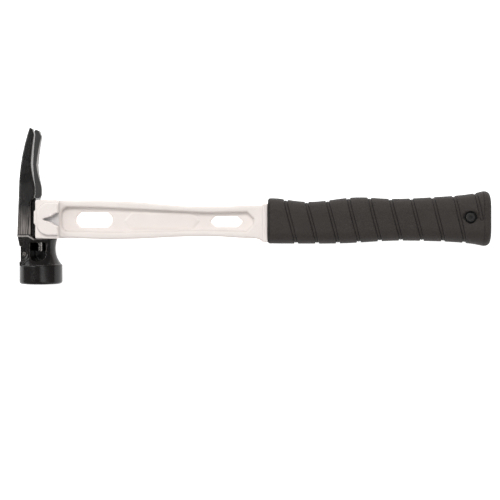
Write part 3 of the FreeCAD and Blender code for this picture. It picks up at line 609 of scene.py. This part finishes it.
# %% Handle
CUT_INSIDE_GRIP = 1.5 * MM
TANG_OVERLAP = 0.5 * MM
tang_cut = overlay_low.x + CUT_INSIDE_GRIP
shank = merged_copy("handle", "coated_handle")
cut_across(shank, tang_cut, keep_right=False)
handle = new_piece("coated_handle", shank)
soften(handle, voxel=0.55 * MM, rounds=4)
tang = merged_copy("handle", "tang")
cut_across(tang, tang_cut - TANG_OVERLAP, keep_right=True)
both = bmesh.new()
both.from_mesh(handle.data)
both.from_mesh(tang)
both.to_mesh(handle.data)
both.free()
bpy.data.meshes.remove(tang)
shade_smooth(handle)
measure_edges(handle, gain=2.2)
dress(handle, white_coat)
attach(handle, "hammer")
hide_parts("handle")
print("handle:", triangles(handle), "triangles")

# %% [markdown]
# ## The grip: a skin that is wound
# The rubber overlay is a tube whose section changes along its length, with one groove wound
# round it. A groove that crosses the mesh's edges would look ragged, so the mesh is wound too:
# its rows climb one pitch for each turn, and a groove is then a few rows that lie lower. The
# shape of the tube is read from the CAD overlay by shooting rays at it from outside.

# %% Section of the overlay
screw_low, screw_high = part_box("grip_screw")
screw_x = (screw_low.x + screw_high.x) / 2
screw_y = (screw_low.y + screw_high.y) / 2
AROUND = 160
STATIONS = 90
SKIN_TRIM = 0.2 * MM
RAY_START = 60 * MM
HOLE_CLEAR = 6.2 * MM
BROAD_SIDE = 0.5
angles = np.arange(AROUND) * 2 * math.pi / AROUND


def overlay_tree():
    """The CAD overlay, ready to be hit by rays."""
    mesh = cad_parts["grip_overlay"].data
    return BVHTree.FromPolygons([v.co for v in mesh.vertices], [p.vertices for p in mesh.polygons])


def fill_gaps(places, radius):
    """Fills in what the screw hole hides, from the same angle on either side of it."""
    for j in range(AROUND):
        known = ~np.isnan(radius[:, j])
        radius[:, j] = np.interp(places, places[known], radius[known, j])


def measure_skin():
    """Distance from the core's axis to the overlay's outside, by place along and angle."""
    tree = overlay_tree()
    stations = np.linspace(overlay_low.x + SKIN_TRIM, overlay_high.x - SKIN_TRIM, STATIONS)
    radius = np.full((STATIONS, AROUND), np.nan)
    for i, x in enumerate(stations):
        for j, angle in enumerate(angles):
            out = Vector((0, math.cos(angle), math.sin(angle)))
            origin = Vector((x, core_y, middle_z)) + out * RAY_START
            hit = tree.ray_cast(origin, -out)[0]
            in_hole = hit is not None and math.hypot(x - screw_x, hit.y - screw_y) < HOLE_CLEAR
            if hit is not None and not (in_hole and abs(out.z) > BROAD_SIDE):
                radius[i, j] = (hit - Vector((x, core_y, middle_z))).length
    fill_gaps(stations, radius)
    return stations, radius


stations, skin_radius = measure_skin()
print("skin radius from", round(skin_radius.min() / MM, 1), "to",
      round(skin_radius.max() / MM, 1), "mm")

# %% Wound mesh
PITCH = 17.97 * MM
FIRST_CREST = head_low.x + 232.3 * MM
ROWS_PER_TURN = 40
FRONT_ROUND = 1.8 * MM
BACK_ROUND = 0.6 * MM
GROOVE_ROWS = [0, 0.45, 0.85, 1.05, 1.25, 1.42, 1.6, 1.8, 2.0, 2.25]
SIDE_STRETCH, CORNER_POWER = 1.2, 4
STEEP_SHARE, EVEN_SHARE = 0.8, 0.2


def turn_reached(angle):
    """The share of a turn that the winding has made at an angle. It runs almost straight across
    the two broad sides."""
    half, part = divmod(angle, math.pi)
    c, s = abs(math.cos(part)), abs(math.sin(part)) * SIDE_STRETCH
    squared = (c ** CORNER_POWER + s ** CORNER_POWER) ** (1 / CORNER_POWER)
    across = math.copysign(c / squared, math.cos(part))
    return half / 2 + (STEEP_SHARE * (1 - across) / 2 + EVEN_SHARE * part / math.pi) / 2


def row_places():
    """Places of the rows within one turn, closer together where the groove's walls are."""
    groove = np.array(GROOVE_ROWS) * MM
    plain = np.linspace(groove[-1], PITCH / 2, ROWS_PER_TURN // 2 - len(groove) + 2)[1:-1]
    half = np.concatenate([groove, plain])
    return np.concatenate([-half[:0:-1], half, [PITCH / 2]])


def wound_skin():
    """The tube, with its rows wound, and the attributes that the groove needs."""
    turns = [turn_reached(a) for a in angles]
    within = row_places()
    first = math.floor((overlay_low.x - FIRST_CREST) / PITCH) - 2
    last = math.ceil((overlay_high.x - FIRST_CREST) / PITCH) + 1
    winds = np.concatenate([n * PITCH + within for n in range(first, last + 1)])
    per_turn = len(within)
    points, wind, inward = [], [], []
    for w in winds:
        for j, angle in enumerate(angles):
            x = FIRST_CREST + w + PITCH * turns[j]
            inside = min(max(x, stations[0]), stations[-1])
            radius = float(np.interp(inside, stations, skin_radius[:, j]))
            for edge, size in ((x - overlay_low.x, FRONT_ROUND), (overlay_high.x - x, BACK_ROUND)):
                left = min(max(size - edge, 0.0), size)
                radius -= size - math.sqrt(size ** 2 - left ** 2)
            out = (0, math.cos(angle), math.sin(angle))
            points.append((x, core_y + out[1] * radius, middle_z + out[2] * radius))
            wind.append(w)
            inward.append((0, -out[1], -out[2]))
    faces = []
    rows = len(winds)
    for i in range(rows - 1):
        for j in range(AROUND):
            up, k = (i, j + 1) if j + 1 < AROUND else (i + per_turn, 0)
            if up + 1 < rows:
                faces.append((i * AROUND + j, (i + 1) * AROUND + j,
                              (up + 1) * AROUND + k, up * AROUND + k))
    mesh = bpy.data.meshes.new("wound_grip")
    mesh.from_pydata(points, [], faces)
    keep_values(mesh, "wind", wind)
    keep_values(mesh, "turn", np.tile(turns, rows))
    mesh.attributes.new("inward", "FLOAT_VECTOR", "POINT").data.foreach_set(
        "vector", np.array(inward, np.float32).ravel())
    return mesh


grip = new_piece("wound_grip", wound_skin())
print("wound skin:", triangles(grip), "triangles")

# %% [markdown]
# ## The groove, as Geometry Nodes
# The tree reads how far a point is from the middle of the nearest turn of the groove, looks up
# the depth there on a curve, and moves the point inward. Past either end of the groove the
# distance is measured from its end point, so the ends come out round. The profile has two dark
# steep walls and a floor with a low swell along its middle. Round the screw the same tree rolls
# the rim of the hole over.

# %% Groove tree
GROOVE_PROFILE = [(0, 0.95), (0.85, 1.0), (1.25, 1.35), (1.55, 0.9), (1.95, 0.05), (2.3, 0)]
GROOVE_REACH = GROOVE_PROFILE[-1][0]
GROOVE_DEEPEST = max(deep for place, deep in GROOVE_PROFILE)
GROOVE_FIRST_TURN, GROOVE_LAST_TURN = -0.33, 9.22
GRIP_GIRTH = 98 * MM
HOLE_RADIUS = 5.3 * MM
HOLE_RIM = 0.8 * MM


def groove_tree():
    """Lowers the skin along the groove and rolls the rim of the screw hole over."""
    tree = bpy.data.node_groups.new("spiral_groove", "GeometryNodeTree")
    face = tree.interface
    face.new_socket("Geometry", in_out="OUTPUT", socket_type="NodeSocketGeometry")
    face.new_socket("Geometry", in_out="INPUT", socket_type="NodeSocketGeometry")
    for name in ("Pitch", "Width", "Depth", "Girth", "First Turn", "Last Turn", "Hole X", "Hole Y",
                 "Hole Radius", "Hole Rim"):
        face.new_socket(name, in_out="INPUT", socket_type="NodeSocketFloat")
    face.new_socket("Material", in_out="INPUT", socket_type="NodeSocketMaterial")
    given = tree.nodes.new("NodeGroupInput").outputs
    result = tree.nodes.new("NodeGroupOutput")

    def feed(value, socket):
        if isinstance(value, (int, float)):
            socket.default_value = value
        else:
            tree.links.new(value, socket)

    def calc(operation, first, second=0.0):
        node = tree.nodes.new("ShaderNodeMath")
        node.operation = operation
        feed(first, node.inputs[0])
        feed(second, node.inputs[1])
        return node.outputs[0]

    def attribute(name, kind="FLOAT"):
        node = tree.nodes.new("GeometryNodeInputNamedAttribute")
        node.data_type = kind
        node.inputs["Name"].default_value = name
        return node.outputs["Attribute"]

    def length(first, second):
        squares = calc("MULTIPLY", first, first), calc("MULTIPLY", second, second)
        return calc("SQRT", calc("ADD", *squares))

    wind = attribute("wind")
    nearest = calc("ROUND", calc("DIVIDE", wind, given["Pitch"]))
    across = calc("SUBTRACT", wind, calc("MULTIPLY", nearest, given["Pitch"]))
    turn = calc("ADD", nearest, attribute("turn"))
    before = calc("MAXIMUM", calc("SUBTRACT", given["First Turn"], turn), 0.0)
    after = calc("MAXIMUM", calc("SUBTRACT", turn, given["Last Turn"]), 0.0)
    beyond = calc("MULTIPLY", calc("ADD", before, after), given["Girth"])
    curve = tree.nodes.new("ShaderNodeFloatCurve")
    points = curve.mapping.curves[0].points
    for place, deep in GROOVE_PROFILE[1:-1]:
        points.new(place / GROOVE_REACH, deep / GROOVE_DEEPEST)
    points[0].location = (0, GROOVE_PROFILE[0][1] / GROOVE_DEEPEST)
    points[len(points) - 1].location = (1, 0)
    curve.mapping.update()
    share = calc("DIVIDE", length(across, beyond), given["Width"])
    feed(calc("MINIMUM", share, 1.0), curve.inputs["Value"])
    deep = calc("MULTIPLY", curve.outputs[0], given["Depth"])

    split = tree.nodes.new("ShaderNodeSeparateXYZ")
    tree.links.new(tree.nodes.new("GeometryNodeInputPosition").outputs[0], split.inputs[0])
    away = length(calc("SUBTRACT", split.outputs["X"], given["Hole X"]),
                  calc("SUBTRACT", split.outputs["Y"], given["Hole Y"]))
    rim = calc("DIVIDE", calc("SUBTRACT", away, given["Hole Radius"]), given["Hole Rim"])
    rim = calc("SUBTRACT", 1.0, calc("MINIMUM", calc("MAXIMUM", rim, 0.0), 1.0))
    rolled = calc("SUBTRACT", 1.0, calc("SQRT", calc("SUBTRACT", 1.0, calc("MULTIPLY", rim, rim))))
    deep = calc("ADD", deep, calc("MULTIPLY", rolled, given["Hole Rim"]))

    push = tree.nodes.new("ShaderNodeVectorMath")
    push.operation = "SCALE"
    tree.links.new(attribute("inward", "FLOAT_VECTOR"), push.inputs[0])
    feed(deep, push.inputs["Scale"])
    move = tree.nodes.new("GeometryNodeSetPosition")
    tree.links.new(given["Geometry"], move.inputs["Geometry"])
    tree.links.new(push.outputs[0], move.inputs["Offset"])
    real = tree.nodes.new("GeometryNodeRealizeInstances")
    paint = tree.nodes.new("GeometryNodeSetMaterial")
    tree.links.new(move.outputs[0], real.inputs[0])
    tree.links.new(real.outputs[0], paint.inputs["Geometry"])
    tree.links.new(given["Material"], paint.inputs["Material"])
    tree.links.new(paint.outputs[0], result.inputs[0])
    return tree


def set_inputs(modifier, values):
    """Sets a modifier's inputs by the identifiers of the tree's named sockets."""
    for item in modifier.node_group.interface.items_tree:
        if item.item_type == "SOCKET" and item.in_out == "INPUT" and item.name in values:
            modifier[item.identifier] = values[item.name]


groove = grip.modifiers.new("spiral_groove", "NODES")
groove.node_group = groove_tree()
set_inputs(groove, {
    "Pitch": PITCH, "Width": GROOVE_REACH * MM, "Depth": GROOVE_DEEPEST * MM, "Girth": GRIP_GIRTH,
    "First Turn": GROOVE_FIRST_TURN, "Last Turn": GROOVE_LAST_TURN,
    "Hole X": screw_x, "Hole Y": screw_y, "Hole Radius": HOLE_RADIUS, "Hole Rim": HOLE_RIM,
    "Material": rubber.material})
settled(grip)
print("grooved skin:", triangles(grip), "triangles")

# %% [markdown]
# ## Closing the grip
# The wound skin is cut square at both ends, lined with the bore that fits the plastic core, and
# joined to it at the rims, so the rubber is a closed solid. A round hole through it lets the
# screw's head in from above and its nut in from below.

# %% Bore, ends and screw hole
LINING_STATIONS = 30
END_TRIM = 0.15 * MM
SEAM_WELD = 0.004 * MM
ON_CUT = 0.02 * MM
DRILL_SIDES, DRILL_LENGTH = 72, 0.1


def measure_bore():
    """Distance from the axis to the overlay's inside."""
    tree = overlay_tree()
    places = np.linspace(overlay_low.x + END_TRIM, overlay_high.x - END_TRIM, LINING_STATIONS)
    inside = np.full((LINING_STATIONS, AROUND), np.nan)
    for i, x in enumerate(places):
        for j, angle in enumerate(angles):
            origin = Vector((x, core_y, middle_z))
            hit = tree.ray_cast(origin, Vector((0, math.cos(angle), math.sin(angle))))[0]
            if hit is not None and math.hypot(x - screw_x, hit.y - screw_y) > HOLE_CLEAR:
                inside[i, j] = (hit - origin).length
    fill_gaps(places, inside)
    return places, inside


def close_grip(piece):
    """Cuts both ends square, adds the bore and joins it to the skin."""
    mesh = piece.data
    form = bmesh.new()
    form.from_mesh(mesh)
    for x, left in ((overlay_low.x + END_TRIM, True), (overlay_high.x - END_TRIM, False)):
        everything = form.verts[:] + form.edges[:] + form.faces[:]
        bmesh.ops.bisect_plane(form, geom=everything, plane_co=(x, 0, 0), plane_no=(1, 0, 0),
                               clear_inner=left, clear_outer=not left)
    bmesh.ops.remove_doubles(form, verts=form.verts, dist=SEAM_WELD)
    places, inside = measure_bore()
    rings = []
    for i, x in enumerate(places):
        ring = []
        for j, angle in enumerate(angles):
            r = inside[i, j]
            ring.append(form.verts.new((x, core_y + math.cos(angle) * r,
                                        middle_z + math.sin(angle) * r)))
        rings.append(ring)
    for near, far in zip(rings, rings[1:]):
        for j in range(AROUND):
            k = (j + 1) % AROUND
            form.faces.new((near[j], near[k], far[k], far[j]))
    for x in (places[0], places[-1]):
        open_edges = [e for e in form.edges if e.is_boundary
                      and all(abs(v.co.x - x) < ON_CUT for v in e.verts)]
        bmesh.ops.bridge_loops(form, edges=open_edges)
    bmesh.ops.recalc_face_normals(form, faces=form.faces)
    left_open = sum(1 for e in form.edges if not e.is_manifold)
    form.to_mesh(mesh)
    form.free()
    print("grip closed, open edges:", left_open)


def drill(piece, x, y, radius):
    """A round hole straight through, along Z. The cut leaves slivers, which are cleaned up."""
    drill_mesh = bpy.data.meshes.new("drill")
    form = bmesh.new()
    bmesh.ops.create_cone(form, cap_ends=True, segments=DRILL_SIDES, radius1=radius,
                          radius2=radius, depth=DRILL_LENGTH)
    form.to_mesh(drill_mesh)
    form.free()
    tool = new_piece("drill", drill_mesh)
    tool.location = (x, y, middle_z)
    cut = piece.modifiers.new("hole", "BOOLEAN")
    cut.operation = "DIFFERENCE"
    cut.object = tool
    cut.solver = "EXACT"
    cut.use_self = True
    settled(piece)
    bpy.data.objects.remove(tool)
    bpy.data.meshes.remove(drill_mesh)
    form = bmesh.new()
    form.from_mesh(piece.data)
    bmesh.ops.dissolve_degenerate(form, dist=WELD, edges=form.edges)
    bmesh.ops.remove_doubles(form, verts=form.verts, dist=WELD)
    bmesh.ops.holes_fill(form, edges=[e for e in form.edges if e.is_boundary], sides=0)
    print("drilled, open edges:", sum(1 for e in form.edges if not e.is_manifold))
    form.to_mesh(piece.data)
    form.free()


close_grip(grip)
drill(grip, screw_x, screw_y, HOLE_RADIUS)
shade_smooth(grip)
measure_edges(grip, gain=2.0, rounds=1)
dress(grip, rubber)
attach(grip, "hammer")
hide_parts("grip_overlay")
print("grip:", triangles(grip), "triangles")

# %% [markdown]
# ## The end cap and the small parts
# The cap is moulded from the same rubber and gets the same soft edges. The magnet, the bolts,
# the washers, the nut and the plastic core keep their CAD shapes.

# %% Cap and small parts
cap = new_piece("rubber_cap", merged_copy("grip_cap", "rubber_cap"))
soften(cap, voxel=0.35 * MM, rounds=3)
shade_smooth(cap)
measure_edges(cap, gain=1.2)
dress(cap, rubber)
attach(cap, "hammer")
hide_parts("grip_cap")
for node, finish in (("nail_magnet", nickel), ("head_bolt", zinc), ("head_bolt_washer", zinc),
                     ("grip_core", hard_plastic), ("grip_screw", oxide),
                     ("grip_screw_washer", oxide), ("grip_nut", oxide)):
    dress(node, finish)
print("cap:", triangles(cap), "triangles")
